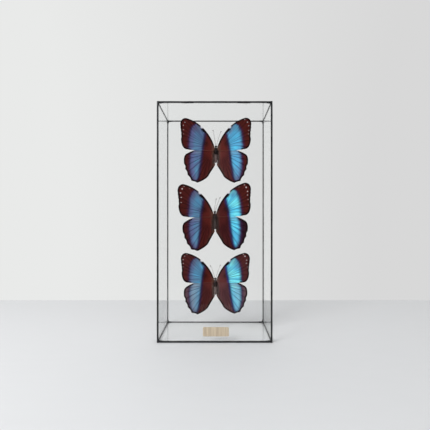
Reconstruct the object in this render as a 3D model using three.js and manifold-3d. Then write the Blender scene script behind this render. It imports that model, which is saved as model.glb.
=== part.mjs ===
// Framed butterfly specimen: a clear glass box with thin soldered metal edges, and three spread
// blue-band butterflies fixed in it one above another.
// Millimetres, +Z up. The front faces -Y. The origin is the middle of the underside.
import * as THREE from 'three';
import { mergeVertices } from 'three/addons/utils/BufferGeometryUtils.js';
import { RoundedBoxGeometry } from 'three/addons/geometries/RoundedBoxGeometry.js';
import Module from 'manifold-3d';

// The box over its metal edges
const boxWidth = 144;
const boxDepth = 72;
const boxHeight = 300;

// The metal edges: square bars, rounded on the outer edge, with a soldered lump at each corner
const barSide = 2.4;
const barRounding = 0.6;
const lumpSide = 3.4;
const lumpRounding = 0.6;

// The panes lie between the bars, a little behind their outer faces, and the bars stand further in
const glassThickness = 1.1;
const glassRecess = 0.4;

// The label plate on the outside of the front pane
const labelWidth = 32.4;
const labelHeight = 11.6;
const labelThickness = 0.4;
const labelRounding = 1.2;
const labelX = 1.5;
const labelZ = 13.8;

// The clear pegs that reach from the back pane to the butterflies
const pegRadius = 1.75;
const pegSides = 12;
const pegGap = 0.35;

// The wings are thin plates that rise towards the front as they go outwards
const wingThickness = 0.6;
const forewingY = -0.75;
const hindwingY = 0.25;
const wingRise = 0.15;
const wingDroop = 0.0007;
const wingInnerRing = 0.55;
const wingPivot = [2, 0.5];

// A right wing seen from the front, x outwards and z towards the head, from the thorax centre.
// Each stretch is a cubic curve: two handles and an end. Scallops dip inwards between their teeth.
const forewing = {
  hub: [28, 20],
  start: [3.1, 3.4],
  stretches: [
    { handles: [[4.9, 17.4], [17, 38.5]], end: [40, 44.7], steps: 10 },
    { handles: [[43, 45.4], [48.6, 43.5]], end: [48.7, 35.3], steps: 6 },
    { handles: [[49.2, 30], [47.2, 25]], end: [48.2, 16.5], steps: 16, scallops: 4, dip: 0.5 },
    { handles: [[48.2, 7.9], [45.4, 1.8]], end: [40, 1.6], steps: 6 },
    { handles: [[27.4, -0.8], [14, -0.3]], end: [3.1, -0.3], steps: 6 },
  ],
};
const hindwing = {
  hub: [23, -18],
  start: [3.1, 0.2],
  stretches: [
    { handles: [[14.4, 3], [31, 0.7]], end: [40, -5.5], steps: 8 },
    { handles: [[44.5, -7.9], [45.1, -12.6]], end: [44, -20.2], steps: 5 },
    { handles: [[43.3, -26.1], [39.8, -36]], end: [33.6, -43], steps: 12, scallops: 3, dip: 1.2 },
    { handles: [[31, -45.2], [29.5, -44.5]], end: [25.4, -45.7], steps: 4, scallops: 1, dip: 0.9 },
    { handles: [[20.5, -44.3], [14.1, -40.5]], end: [10.4, -36.6], steps: 5 },
    { handles: [[7.8, -31.2], [3.9, -25.5]], end: [0.9, -20.2], steps: 4 },
    { handles: [[0.7, -18.6], [2.2, -17.4]], end: [2.3, -13], steps: 4 },
    { handles: [[2.3, -10], [2.5, -7]], end: [2.95, -4], steps: 3 },
  ],
};

// Where each butterfly sits, how large its wings are across and in height, how it and its wings are
// turned in degrees, and where its antennae end
const butterflies = [
  {
    name: 'top', x: 1.3, z: 246.6, tilt: 0.7,
    size: { forewing: [0.965, 0.97], hindwing: [0.965, 0.97] },
    turn: { forewing_left: -2.2, forewing_right: 0, hindwing_left: 0.5, hindwing_right: 1.4 },
    body: { size: 0.94, z: -0.8 }, antennaTips: [[-4.7, 28], [6.8, 26.5]], pegZ: -0.5,
  },
  {
    name: 'middle', x: -0.2, z: 156.8, tilt: -0.9,
    size: { forewing: [1, 1.01], hindwing: [0.99, 1] },
    turn: { forewing_left: -1.3, forewing_right: -0.4, hindwing_left: -0.6, hindwing_right: 0.2 },
    body: { size: 1, z: -0.4 }, antennaTips: [[2.2, 25], [7.8, 26.7]], pegZ: -1,
  },
  {
    name: 'bottom', x: 0.5, z: 68.2, tilt: -1,
    size: { forewing: [0.93, 0.92], hindwing: [0.955, 0.945] },
    turn: { forewing_left: -0.9, forewing_right: -2.8, hindwing_left: 1.1, hindwing_right: 1.1 },
    body: { size: 0.92, z: -2 }, antennaTips: [[-6.7, 23], [7.3, 23.5]], pegZ: -3,
  },
];

// Body shapes, mm from the thorax centre: x across, y towards the back, z towards the head
const thorax = { radii: [2.75, 2.4, 5.4], z: 0.3 };
const head = { radius: 1.6, z: 6.6 };
const eye = { radius: 0.9, x: 1.1, y: -0.1, z: 7.1 };
const abdomenProfile = [[0, -17], [0.9, -16.5], [1.6, -14.2], [1.85, -10.5], [1.7, -6], [1.2, -3], [0, -2]];
const abdomenSides = 10;
const antenna = { radius: 0.24, root: [0.6, -0.4, 7.6], tipY: -1.6, steps: 7 };
const antennaClub = { radius: 0.5, length: 2.6 };
const leg = { radius: 0.32, steps: 4 };

// One leg of each pair, folded back under the thorax
const legPairs = [
  [[0.9, 1.2, 3.4], [2.9, 3.2, 4.6], [3.5, 4.6, 1.2], [2.9, 5.2, -3.2]],
  [[1.1, 1.2, 1], [3.3, 3.6, 0.6], [4.4, 5, -4.4], [3.4, 5.4, -8.4]],
  [[1, 1.2, -1.6], [3.4, 3.4, -3.8], [4, 4.8, -9], [2.8, 5.2, -13.2]],
];

const manifold = await Module();
manifold.setup();

// A closed geometry with its shared corners merged
function weld(geometry) {
  const welded = geometry.clone();
  welded.deleteAttribute('normal');
  welded.deleteAttribute('uv');
  return mergeVertices(welded);
}

// Several closed geometries joined into one solid
function unite(geometries) {
  const solids = geometries.map((geometry) => {
    const welded = weld(geometry);
    return new manifold.Manifold(new manifold.Mesh({
      numProp: 3,
      vertProperties: new Float32Array(welded.attributes.position.array),
      triVerts: new Uint32Array(welded.index.array),
    }));
  });
  const joined = solids.reduce((whole, solid) => whole.add(solid)).getMesh();
  const geometry = new THREE.BufferGeometry();
  geometry.setAttribute('position', new THREE.BufferAttribute(joined.vertProperties, 3));
  geometry.setIndex(new THREE.BufferAttribute(joined.triVerts, 1));
  geometry.computeVertexNormals();
  return geometry;
}

const materials = {
  metal: new THREE.MeshStandardMaterial({ color: 0x2b2c30, roughness: 0.45, metalness: 0.7 }),
  glass: new THREE.MeshStandardMaterial({
    color: 0xe6eceb, roughness: 0.05, transparent: true, opacity: 0.18, depthWrite: false,
  }),
  label: new THREE.MeshStandardMaterial({ color: 0xbdad98, roughness: 0.4, metalness: 0.8 }),
  acrylic: new THREE.MeshStandardMaterial({ color: 0xf2f4f4, roughness: 0.1, transparent: true, opacity: 0.4 }),
  body: new THREE.MeshStandardMaterial({ color: 0x332826, roughness: 0.95 }),
  wing: new THREE.MeshStandardMaterial({ color: 0x45201d, roughness: 0.8 }),
};

function namedMesh(name, geometry, material) {
  const mesh = new THREE.Mesh(geometry, material);
  mesh.name = name;
  return mesh;
}

// The metal edges

// Turns a geometry extruded along z so that it runs along another axis
const runsAlong = {
  x: new THREE.Matrix4().makeBasis(axis(0, 1, 0), axis(0, 0, 1), axis(1, 0, 0)),
  y: new THREE.Matrix4().makeBasis(axis(0, 0, 1), axis(1, 0, 0), axis(0, 1, 0)),
  z: new THREE.Matrix4(),
};

function axis(x, y, z) {
  return new THREE.Vector3(x, y, z);
}

// A bar's section, its outer corner at the origin and its body towards the middle of the box
function barSection(signU, signV) {
  const section = new THREE.Shape();
  section.moveTo(-signU * barRounding, 0);
  section.lineTo(-signU * barSide, 0);
  section.lineTo(-signU * barSide, -signV * barSide);
  section.lineTo(0, -signV * barSide);
  section.lineTo(0, -signV * barRounding);
  section.quadraticCurveTo(0, 0, -signU * barRounding, 0);
  return section;
}

// A straight bar centred on its length
function bar(direction, length, signU, signV) {
  const section = barSection(signU, signV);
  const geometry = new THREE.ExtrudeGeometry(section, { depth: length, bevelEnabled: false, curveSegments: 3 });
  geometry.translate(0, 0, -length / 2);
  return geometry.applyMatrix4(runsAlong[direction]);
}

function cornerLump(signX, signY, z) {
  const geometry = new RoundedBoxGeometry(lumpSide, lumpSide, lumpSide, 1, lumpRounding);
  return geometry.translate(-signX * lumpSide / 2, -signY * lumpSide / 2, z);
}

const sideNames = { '-1': 'left', 1: 'right' };
const faceNames = { '-1': 'front', 1: 'back' };
const levelNames = { '-1': 'bottom', 1: 'top' };

function makePost(signX, signY) {
  const lumpZ = (boxHeight - lumpSide) / 2;
  const geometry = unite([
    bar('z', boxHeight - lumpSide, signX, signY),
    cornerLump(signX, signY, lumpZ),
    cornerLump(signX, signY, -lumpZ),
  ]);
  const post = namedMesh(`post_${faceNames[signY]}_${sideNames[signX]}`, geometry, materials.metal);
  post.position.set(signX * boxWidth / 2, signY * boxDepth / 2, boxHeight / 2);
  return post;
}

function makeLongRail(signY, signZ) {
  const geometry = bar('x', boxWidth - 2 * lumpSide, signY, signZ);
  const rail = namedMesh(`rail_${faceNames[signY]}_${levelNames[signZ]}`, geometry, materials.metal);
  rail.position.set(0, signY * boxDepth / 2, (1 + signZ) * boxHeight / 2);
  return rail;
}

function makeShortRail(signX, signZ) {
  const geometry = bar('y', boxDepth - 2 * lumpSide, signZ, signX);
  const rail = namedMesh(`rail_${sideNames[signX]}_${levelNames[signZ]}`, geometry, materials.metal);
  rail.position.set(signX * boxWidth / 2, 0, (1 + signZ) * boxHeight / 2);
  return rail;
}

// The panes

// A pane of the opening between the bars, with a notch at each corner for the lump there
function paneGeometry(direction, width, height) {
  const w = width / 2 - barSide;
  const h = height / 2 - barSide;
  const notch = lumpSide - barSide;
  const a = w - notch;
  const b = h - notch;
  const corners = [
    [a, -h], [a, -b], [w, -b], [w, b], [a, b], [a, h],
    [-a, h], [-a, b], [-w, b], [-w, -b], [-a, -b], [-a, -h],
  ];
  const outline = new THREE.Shape(corners.map(([x, y]) => new THREE.Vector2(x, y)));
  const geometry = new THREE.ExtrudeGeometry(outline, { depth: glassThickness, bevelEnabled: false });
  geometry.translate(0, 0, -glassThickness / 2);
  return geometry.applyMatrix4(runsAlong[direction]);
}

function makePanes() {
  const inset = glassRecess + glassThickness / 2;
  const panes = [];
  for (const sign of [-1, 1]) {
    const face = namedMesh(`pane_${faceNames[sign]}`, paneGeometry('y', boxHeight, boxWidth), materials.glass);
    face.position.set(0, sign * (boxDepth / 2 - inset), boxHeight / 2);
    const side = namedMesh(`pane_${sideNames[sign]}`, paneGeometry('x', boxDepth, boxHeight), materials.glass);
    side.position.set(sign * (boxWidth / 2 - inset), 0, boxHeight / 2);
    const level = namedMesh(`pane_${levelNames[sign]}`, paneGeometry('z', boxWidth, boxDepth), materials.glass);
    level.position.set(0, 0, boxHeight / 2 + sign * (boxHeight / 2 - inset));
    panes.push(face, side, level);
  }
  return panes;
}

// The label plate

function makeLabel() {
  const w = labelWidth / 2;
  const h = labelHeight / 2;
  const r = labelRounding;
  const outline = new THREE.Shape();
  outline.moveTo(-w, r - h);
  outline.absarc(r - w, r - h, r, Math.PI, 1.5 * Math.PI);
  outline.absarc(w - r, r - h, r, 1.5 * Math.PI, 2 * Math.PI);
  outline.absarc(w - r, h - r, r, 0, 0.5 * Math.PI);
  outline.absarc(r - w, h - r, r, 0.5 * Math.PI, Math.PI);
  const geometry = new THREE.ExtrudeGeometry(outline, { depth: labelThickness, bevelEnabled: false, curveSegments: 3 });
  geometry.rotateX(Math.PI / 2);
  const label = namedMesh('label_plate', geometry, materials.label);
  label.position.set(labelX, glassRecess - boxDepth / 2, labelZ);
  return label;
}

// The butterflies

// The outline's corners, in order, with the scallops between the teeth of a scalloped stretch
function traceOutline({ start, stretches }) {
  const corners = [];
  let from = start;
  for (const { handles, end, steps, scallops = 0, dip = 0 } of stretches) {
    const ends = [from, ...handles, end].map(([x, z]) => new THREE.Vector2(x, z));
    const curve = new THREE.CubicBezierCurve(...ends);
    for (let step = 0; step < steps; step += 1) {
      const t = step / steps;
      const point = curve.getPoint(t);
      const inwards = curve.getTangent(t).rotateAround(new THREE.Vector2(), -Math.PI / 2);
      const depth = dip * Math.abs(Math.sin(Math.PI * scallops * t));
      corners.push(point.addScaledVector(inwards, depth));
    }
    from = end;
  }
  corners.push(new THREE.Vector2(...from));
  return corners;
}

// A thin plate over the outline, in rings about the hub, for the left wing (-1) or the right (1)
function wingGeometry(shape, sign, turnDegrees, size, baseY) {
  const hub = new THREE.Vector2(...shape.hub);
  const corners = traceOutline(shape);
  const rings = [corners.map((corner) => hub.clone().lerp(corner, wingInnerRing)), corners];
  const flat = [hub, ...rings.flat()];
  const pivot = new THREE.Vector2(...wingPivot);
  const turn = THREE.MathUtils.degToRad(turnDegrees);
  const positions = [];
  for (const face of [-1, 1]) {
    for (const point of flat) {
      const p = point.clone().rotateAround(pivot, turn).multiply(size);
      const rise = wingRise * p.x - wingDroop * p.x * p.x;
      positions.push(sign * p.x, baseY - rise + face * wingThickness / 2, p.y);
    }
  }
  const count = corners.length;
  const backStart = flat.length;
  const triangles = [];
  const quad = (a, b, c, d) => triangles.push([a, b, c], [a, c, d]);
  for (let i = 0; i < count; i += 1) {
    const j = (i + 1) % count;
    const inner = [1 + i, 1 + j];
    const outer = [1 + count + i, 1 + count + j];
    triangles.push([0, inner[1], inner[0]]);
    triangles.push([backStart, backStart + inner[0], backStart + inner[1]]);
    quad(inner[0], inner[1], outer[1], outer[0]);
    quad(backStart + inner[1], backStart + inner[0], backStart + outer[0], backStart + outer[1]);
    quad(outer[0], outer[1], backStart + outer[1], backStart + outer[0]);
  }
  const geometry = new THREE.BufferGeometry();
  geometry.setAttribute('position', new THREE.Float32BufferAttribute(positions, 3));
  geometry.setIndex(triangles.flatMap((abc) => (sign > 0 ? abc : abc.toReversed())));
  geometry.computeVertexNormals();
  return geometry;
}

// A thin rod along a smooth curve
function rod(points, radius, sides, steps) {
  const section = new THREE.Shape(new THREE.EllipseCurve(0, 0, radius, radius).getPoints(sides).slice(0, sides));
  const path = new THREE.CatmullRomCurve3(points.map((point) => new THREE.Vector3(...point)));
  return new THREE.ExtrudeGeometry(section, { steps, extrudePath: path, bevelEnabled: false });
}

function makeAntenna(sign, [tipX, tipZ]) {
  const root = [sign * antenna.root[0], antenna.root[1], antenna.root[2]];
  const tip = [tipX, antenna.tipY, tipZ];
  const middle = [root[0] + (tipX - root[0]) * 0.42, antenna.tipY * 0.8, (root[2] + tipZ) / 2];
  const club = new THREE.SphereGeometry(1, 6, 4);
  club.rotateX(Math.PI / 2);
  club.scale(antennaClub.radius, antennaClub.radius, antennaClub.length / 2);
  club.rotateY(Math.atan2(tipX - middle[0], tipZ - middle[2]));
  club.translate(...tip);
  return [rod([root, middle, tip], antenna.radius, 4, antenna.steps), club];
}

function bodyGeometry({ size, z }, antennaTips) {
  const chest = new THREE.SphereGeometry(1, 12, 8).rotateX(Math.PI / 2);
  chest.scale(...thorax.radii).translate(0, 0, thorax.z);
  const face = new THREE.SphereGeometry(head.radius, 8, 6).translate(0, 0, head.z);
  const profile = abdomenProfile.map(([radius, height]) => new THREE.Vector2(radius, height));
  const abdomen = new THREE.LatheGeometry(profile, abdomenSides).rotateX(Math.PI / 2);
  const pieces = [chest, face, abdomen];
  [-1, 1].forEach((sign, i) => {
    pieces.push(new THREE.SphereGeometry(eye.radius, 6, 4).translate(sign * eye.x, eye.y, eye.z));
    const tip = [antennaTips[i][0] / size, (antennaTips[i][1] - z) / size];
    pieces.push(...makeAntenna(sign, tip));
    for (const points of legPairs) {
      const route = points.map(([x, y, height]) => [sign * x, y, height]);
      pieces.push(rod(route, leg.radius, 4, leg.steps));
    }
  });
  return unite(pieces).scale(size, size, size).translate(0, 0, z);
}

function makeButterfly({ name, x, z, tilt, size, turn, body, antennaTips }) {
  const group = new THREE.Group();
  group.position.set(x, 0, z);
  group.rotation.y = THREE.MathUtils.degToRad(tilt);
  group.add(namedMesh(`${name}_body`, bodyGeometry(body, antennaTips), materials.body));
  for (const [wingName, degrees] of Object.entries(turn)) {
    const [kind, side] = wingName.split('_');
    const sign = side === 'left' ? -1 : 1;
    const shape = kind === 'forewing' ? forewing : hindwing;
    const baseY = kind === 'forewing' ? forewingY : hindwingY;
    const geometry = wingGeometry(shape, sign, degrees, new THREE.Vector2(...size[kind]), baseY);
    group.add(namedMesh(`${name}_${wingName}`, geometry, materials.wing));
  }
  return group;
}

function makePeg({ name, x, z, body, pegZ }) {
  const tipY = thorax.radii[1] * body.size + pegGap;
  const backY = boxDepth / 2 - glassRecess - glassThickness;
  const geometry = new THREE.CylinderGeometry(pegRadius, pegRadius, backY - tipY, pegSides);
  const peg = namedMesh(`${name}_peg`, geometry, materials.acrylic);
  peg.position.set(x, (backY + tipY) / 2, z + pegZ);
  return peg;
}

const specimen = new THREE.Group();
for (const signY of [-1, 1]) {
  for (const signX of [-1, 1]) {
    specimen.add(makePost(signX, signY));
  }
}
for (const signZ of [-1, 1]) {
  for (const sign of [-1, 1]) {
    specimen.add(makeLongRail(sign, signZ), makeShortRail(sign, signZ));
  }
}
specimen.add(...makePanes(), makeLabel());
for (const butterfly of butterflies) {
  specimen.add(makeButterfly(butterfly), makePeg(butterfly));
}

export default specimen;
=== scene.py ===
# Framed butterfly specimen: a glass box with thin black soldered edges, three spread blue-band
# butterflies held one above another on clear pegs, and a small plain brass label.
import math
import random

import bmesh
import bpy
import numpy as np
from mathutils import Matrix, Vector, noise
from mathutils.geometry import interpolate_bezier


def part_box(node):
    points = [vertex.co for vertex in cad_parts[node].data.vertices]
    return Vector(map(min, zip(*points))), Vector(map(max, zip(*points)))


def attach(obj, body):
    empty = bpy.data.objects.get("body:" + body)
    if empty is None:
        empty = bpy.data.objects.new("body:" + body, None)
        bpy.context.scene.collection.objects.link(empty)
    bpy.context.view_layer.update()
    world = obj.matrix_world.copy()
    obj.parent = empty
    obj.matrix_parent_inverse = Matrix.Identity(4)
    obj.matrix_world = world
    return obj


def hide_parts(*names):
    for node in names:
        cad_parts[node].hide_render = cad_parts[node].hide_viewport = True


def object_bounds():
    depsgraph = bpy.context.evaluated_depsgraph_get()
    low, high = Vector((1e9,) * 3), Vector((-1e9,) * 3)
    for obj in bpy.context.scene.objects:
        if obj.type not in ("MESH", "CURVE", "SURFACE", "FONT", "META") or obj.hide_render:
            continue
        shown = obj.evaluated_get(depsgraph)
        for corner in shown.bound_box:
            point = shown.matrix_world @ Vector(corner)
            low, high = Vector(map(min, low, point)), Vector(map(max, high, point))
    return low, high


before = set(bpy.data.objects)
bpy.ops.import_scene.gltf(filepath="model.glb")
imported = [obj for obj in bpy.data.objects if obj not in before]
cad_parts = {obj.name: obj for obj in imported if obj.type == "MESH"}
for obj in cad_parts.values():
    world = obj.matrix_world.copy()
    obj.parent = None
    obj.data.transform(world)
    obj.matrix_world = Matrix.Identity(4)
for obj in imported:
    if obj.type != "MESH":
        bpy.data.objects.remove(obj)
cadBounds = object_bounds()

mm = 0.001  # settings are in millimetres, Blender is in metres
boxMiddle = (cadBounds[0] + cadBounds[1]) / 2 / mm


# Small helpers

def hexColour(code):
    channels = [int(code[i:i + 2], 16) / 255 for i in (1, 3, 5)]
    return [c / 12.92 if c <= 0.04045 else ((c + 0.055) / 1.055) ** 2.4 for c in channels] + [1]


def smoothStep(low, high, value):
    t = min(max((value - low) / (high - low), 0), 1)
    return t * t * (3 - 2 * t)


def newMaterial(name):
    material = bpy.data.materials.new(name)
    material.use_nodes = True
    material.node_tree.nodes.clear()
    return material


def addNode(owner, kind, inputs={}, **settings):
    # an input is a value, a hex colour, another node's output, or a node whose first output is meant
    node = owner.node_tree.nodes.new(kind)
    for name, value in settings.items():
        setattr(node, name, value)
    for socket, value in inputs.items():
        if isinstance(value, bpy.types.Node):
            value = value.outputs[0]
        if isinstance(value, bpy.types.NodeSocket):
            owner.node_tree.links.new(value, node.inputs[socket])
        else:
            node.inputs[socket].default_value = hexColour(value) if isinstance(value, str) else value
    return node


def addObject(name, data):
    thing = bpy.data.objects.new(name, data)
    bpy.context.scene.collection.objects.link(thing)
    return thing


def meshFrom(bm, name):
    mesh = bpy.data.meshes.new(name)
    bm.to_mesh(mesh)
    bm.free()
    return mesh


def roundEdges(bm, edges, offset, segments):
    bmesh.ops.bevel(bm, geom=edges, offset=offset, affect="EDGES", segments=segments, profile=0.5,
                    material=-1)


def finishPiece(bm, name, materials, node, sharpAngle=None):
    bmesh.ops.scale(bm, vec=(mm, mm, mm), verts=bm.verts)
    mesh = meshFrom(bm, name)
    mesh.shade_smooth()
    if sharpAngle:
        mesh.set_sharp_from_angle(angle=math.radians(sharpAngle))
    for material in materials:
        mesh.materials.append(material)
    piece = addObject(name, mesh)
    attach(piece, "root")
    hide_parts(node)
    return piece


# Camera

cameraSettings = {
    "place": (6, -400, 152),
    "focalPixels": 293.7,
    "straightAhead": (219.5, 220.3),  # the pixel that the level line of sight meets
    "imageSide": 430,
}


def makeCamera(s):
    data = bpy.data.cameras.new("camera")
    data.lens = s["focalPixels"] / s["imageSide"] * data.sensor_width
    data.shift_x = 0.5 - s["straightAhead"][0] / s["imageSide"]
    data.shift_y = s["straightAhead"][1] / s["imageSide"] - 0.5
    data.clip_start = 0.01
    camera = addObject("camera", data)
    camera.location = Vector(s["place"]) * mm
    camera.rotation_euler = (math.pi / 2, 0, 0)
    bpy.context.scene.camera = camera


makeCamera(cameraSettings)
print("camera in place")


# Floor, background and lights

stageSettings = {
    "floorSide": 1400,
    "floorFrontY": -200,  # just nearer than the picture's lower edge, so the front pane mirrors little of it
    "floorBackY": 158.7,
    "floorColour": "#dcdddf",
    "floorMottle": 0.98,  # brightness of the floor's darker patches against its own
    "wallLeft": "#e9eae9",
    "wallRight": "#d8d8d8",
    "wallSpread": 0.45,  # sideways part of the line of sight where the wall reaches its end colours
    "mirroredRoom": (0.04, 1.0),  # how bright the glass mirrors the room in front of the box and behind it
    "mirroredTurn": (-0.3, 0.4),  # the mirrored direction's part in y where each of the two begins
}
lightSettings = {
    "key": {"place": (-620, -560, 640), "side": 420, "watts": 4.8},
    "fill": {"place": (700, -500, 300), "side": 700, "watts": 0.8},
}


def makeFloor(s):
    # a pale matt floor, almost even in colour
    floorMaterial = newMaterial("matte pale floor")
    grain = addNode(floorMaterial, "ShaderNodeTexNoise", {"Scale": 40})
    tone = addNode(floorMaterial, "ShaderNodeMix", {
        0: grain,
        6: s["floorColour"],
        7: [s["floorMottle"] * c for c in hexColour(s["floorColour"])],
    }, data_type="RGBA")
    shader = addNode(floorMaterial, "ShaderNodeBsdfPrincipled", {
        "Base Color": tone.outputs[2], "Roughness": 0.6,
    })
    addNode(floorMaterial, "ShaderNodeOutputMaterial", {"Surface": shader})
    bm = bmesh.new()
    depth = s["floorBackY"] - s["floorFrontY"]
    middle = Vector((0, (s["floorBackY"] + s["floorFrontY"]) / 2, 0))
    bmesh.ops.create_grid(bm, x_segments=1, y_segments=1, size=0.5)
    bmesh.ops.scale(bm, vec=(s["floorSide"] * mm, depth * mm, 1), verts=bm.verts)
    bmesh.ops.translate(bm, vec=middle * mm, verts=bm.verts)
    mesh = meshFrom(bm, "floor")
    mesh.materials.append(floorMaterial)
    floor = addObject("floor", mesh)


def makeBackground(s):
    world = bpy.data.worlds.new("pale room")
    world.use_nodes = True
    world.node_tree.nodes.clear()
    bpy.context.scene.world = world
    sight = addNode(world, "ShaderNodeTexCoord")
    split = addNode(world, "ShaderNodeSeparateXYZ", {0: sight.outputs["Generated"]})
    across = addNode(world, "ShaderNodeMapRange", {
        "Value": split.outputs[0], "From Min": -s["wallSpread"], "From Max": s["wallSpread"],
    })
    colour = addNode(world, "ShaderNodeMix", {
        0: across, 6: s["wallLeft"], 7: s["wallRight"],
    }, data_type="RGBA")
    # the room that the glass mirrors is dimmer than the wall, so dark wings stay dark behind the front pane
    facing = addNode(world, "ShaderNodeMapRange", {
        "Value": split.outputs[1], "From Min": s["mirroredTurn"][0], "From Max": s["mirroredTurn"][1],
        "To Min": s["mirroredRoom"][0], "To Max": s["mirroredRoom"][1],
    })
    ray = addNode(world, "ShaderNodeLightPath")
    mirrored = addNode(world, "ShaderNodeMath", {0: ray.outputs["Glossy Depth"], 1: 1.0}, operation="MINIMUM")
    strength = addNode(world, "ShaderNodeMix", {0: mirrored, 2: 1.0, 3: facing})
    glow = addNode(world, "ShaderNodeBackground", {"Color": colour.outputs[2], "Strength": strength})
    addNode(world, "ShaderNodeOutputWorld", {"Surface": glow})


def makeLight(name, s):
    data = bpy.data.lights.new(name, "AREA")
    data.energy = s["watts"]
    data.size = s["side"] * mm
    light = addObject(name, data)
    light.location = Vector(s["place"]) * mm
    # the camera doesn't see a lamp, so it isn't seen through the glass either
    light.visible_transmission = False
    light.rotation_euler = (boxMiddle * mm - light.location).to_track_quat("-Z", "Y").to_euler()


makeFloor(stageSettings)
makeBackground(stageSettings)
for lightName, settings in lightSettings.items():
    makeLight(lightName, settings)
bpy.context.scene.view_settings.view_transform = "Standard"
print("floor, background and lights in place")


# Metal edges: copper foil tape, tinned by hand with solder and darkened with black patina

edgeSettings = {
    "side": 2.4,
    "outerRounding": 0.6,
    "otherRounding": 0.3,  # of the other three long edges, and of a post's ends
    "cornerLump": 3.4,
    "railFlare": 2.75,  # a rail grows towards the lumps it is soldered to
    "lumpHolds": 2.6,  # how far from its end a post keeps the lump's thickness
    "lumpEnds": 6.0,  # how far from its end a post or rail is back to its own
    "stationSpacing": 2.0,
    "rippleDepth": 0.16,
    "rippleLength": 8.0,
}


def blackPatina():
    # almost black, faintly brown and blue where the patina is thin, with a soft waxed gleam
    material = newMaterial("black patinated solder")
    place = addNode(material, "ShaderNodeTexCoord").outputs["Object"]
    blotches = addNode(material, "ShaderNodeTexNoise", {"Vector": place, "Scale": 1 / (6 * mm), "Detail": 4})
    specks = addNode(material, "ShaderNodeTexNoise", {"Vector": place, "Scale": 1 / (0.8 * mm), "Detail": 3})
    thin = addNode(material, "ShaderNodeMapRange", {
        "Value": blotches, "From Min": 0.5, "From Max": 0.72,
    }, interpolation_type="SMOOTHSTEP")
    worn = addNode(material, "ShaderNodeMapRange", {
        "Value": specks, "From Min": 0.6, "From Max": 0.75,
    }, interpolation_type="SMOOTHSTEP")
    colour = "#26272b"
    for mask, paint in [(thin, "#3a3937"), (worn, "#4a4a4c")]:
        layer = addNode(material, "ShaderNodeMix", {0: mask, 6: colour, 7: paint}, data_type="RGBA")
        colour = layer.outputs[2]
    gleam = addNode(material, "ShaderNodeMapRange", {"Value": blotches, "To Min": 0.34, "To Max": 0.56})
    relief = addNode(material, "ShaderNodeBump", {"Strength": 0.4, "Distance": 0.12 * mm, "Height": specks})
    shader = addNode(material, "ShaderNodeBsdfPrincipled", {
        "Base Color": colour, "Metallic": 0.55, "Roughness": gleam, "Normal": relief,
        "Coat Weight": 0.6, "Coat Roughness": 0.22,
    })
    addNode(material, "ShaderNodeOutputMaterial", {"Surface": shader})
    return material


def makeEdge(node, material, s):
    low, high = [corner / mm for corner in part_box(node)]
    size = high - low
    along = max(range(3), key=lambda i: size[i])
    across = [i for i in range(3) if i != along]
    isPost = along == 2
    outer = Vector([high[i] if low[i] + high[i] > 2 * boxMiddle[i] else low[i] for i in range(3)])
    middle = (low + high) / 2
    for i in across:
        middle[i] = outer[i] + math.copysign(s["side"] / 2, boxMiddle[i] - outer[i])
        size[i] = s["side"]

    def runsAlong(edge):
        return abs((edge.verts[0].co - edge.verts[1].co).normalized()[along]) > 0.99

    bm = bmesh.new()
    bmesh.ops.create_cube(bm, size=1, matrix=Matrix.Translation(middle) @ Matrix.Diagonal((*size, 1)))
    longEdges = [edge for edge in bm.edges if runsAlong(edge)]
    outermost = min(longEdges, key=lambda edge: sum(abs(edge.verts[0].co[i] - outer[i]) for i in across))
    rounding = [(s["outerRounding"], [outermost]),
                (s["otherRounding"], [edge for edge in longEdges if edge != outermost])]
    for offset, edges in rounding:
        roundEdges(bm, edges, offset, 4)
    if isPost:
        roundEdges(bm, [edge for edge in bm.edges if not runsAlong(edge)], s["otherRounding"], 3)
    stations = int(size[along] / s["stationSpacing"])
    longEdges = [edge for edge in bm.edges if runsAlong(edge) and edge.calc_length() > size[along] / 2]
    bmesh.ops.subdivide_edges(bm, edges=longEdges, cuts=stations, use_grid_fill=True)

    # thicker towards the ends, and hand-wavy in between
    thickness = s["cornerLump"] if isPost else s["railFlare"]
    for vert in bm.verts:
        fromEnd = size[along] / 2 - abs(vert.co[along] - middle[along])
        swelling = 1 - smoothStep(s["lumpHolds"] if isPost else 0, s["lumpEnds"], fromEnd)
        wave = noise.noise(vert.co / s["rippleLength"]) + 0.5 * noise.noise(vert.co * 3 / s["rippleLength"])
        for i in across:
            sideways = (vert.co[i] - middle[i]) * (1 + s["rippleDepth"] * (wave - 1) / s["side"])
            grown = 1 + (thickness / s["side"] - 1) * swelling
            vert.co[i] = outer[i] + (middle[i] + sideways - outer[i]) * grown
    bmesh.ops.recalc_face_normals(bm, faces=bm.faces)
    finishPiece(bm, f"soldered_{node}", [material], node, sharpAngle=50)


patina = blackPatina()
edgeNodes = [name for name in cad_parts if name.startswith(("post_", "rail_"))]
for name in edgeNodes:
    makeEdge(name, patina, edgeSettings)
print(f"{len(edgeNodes)} metal edges made")


# Glass panes

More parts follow.
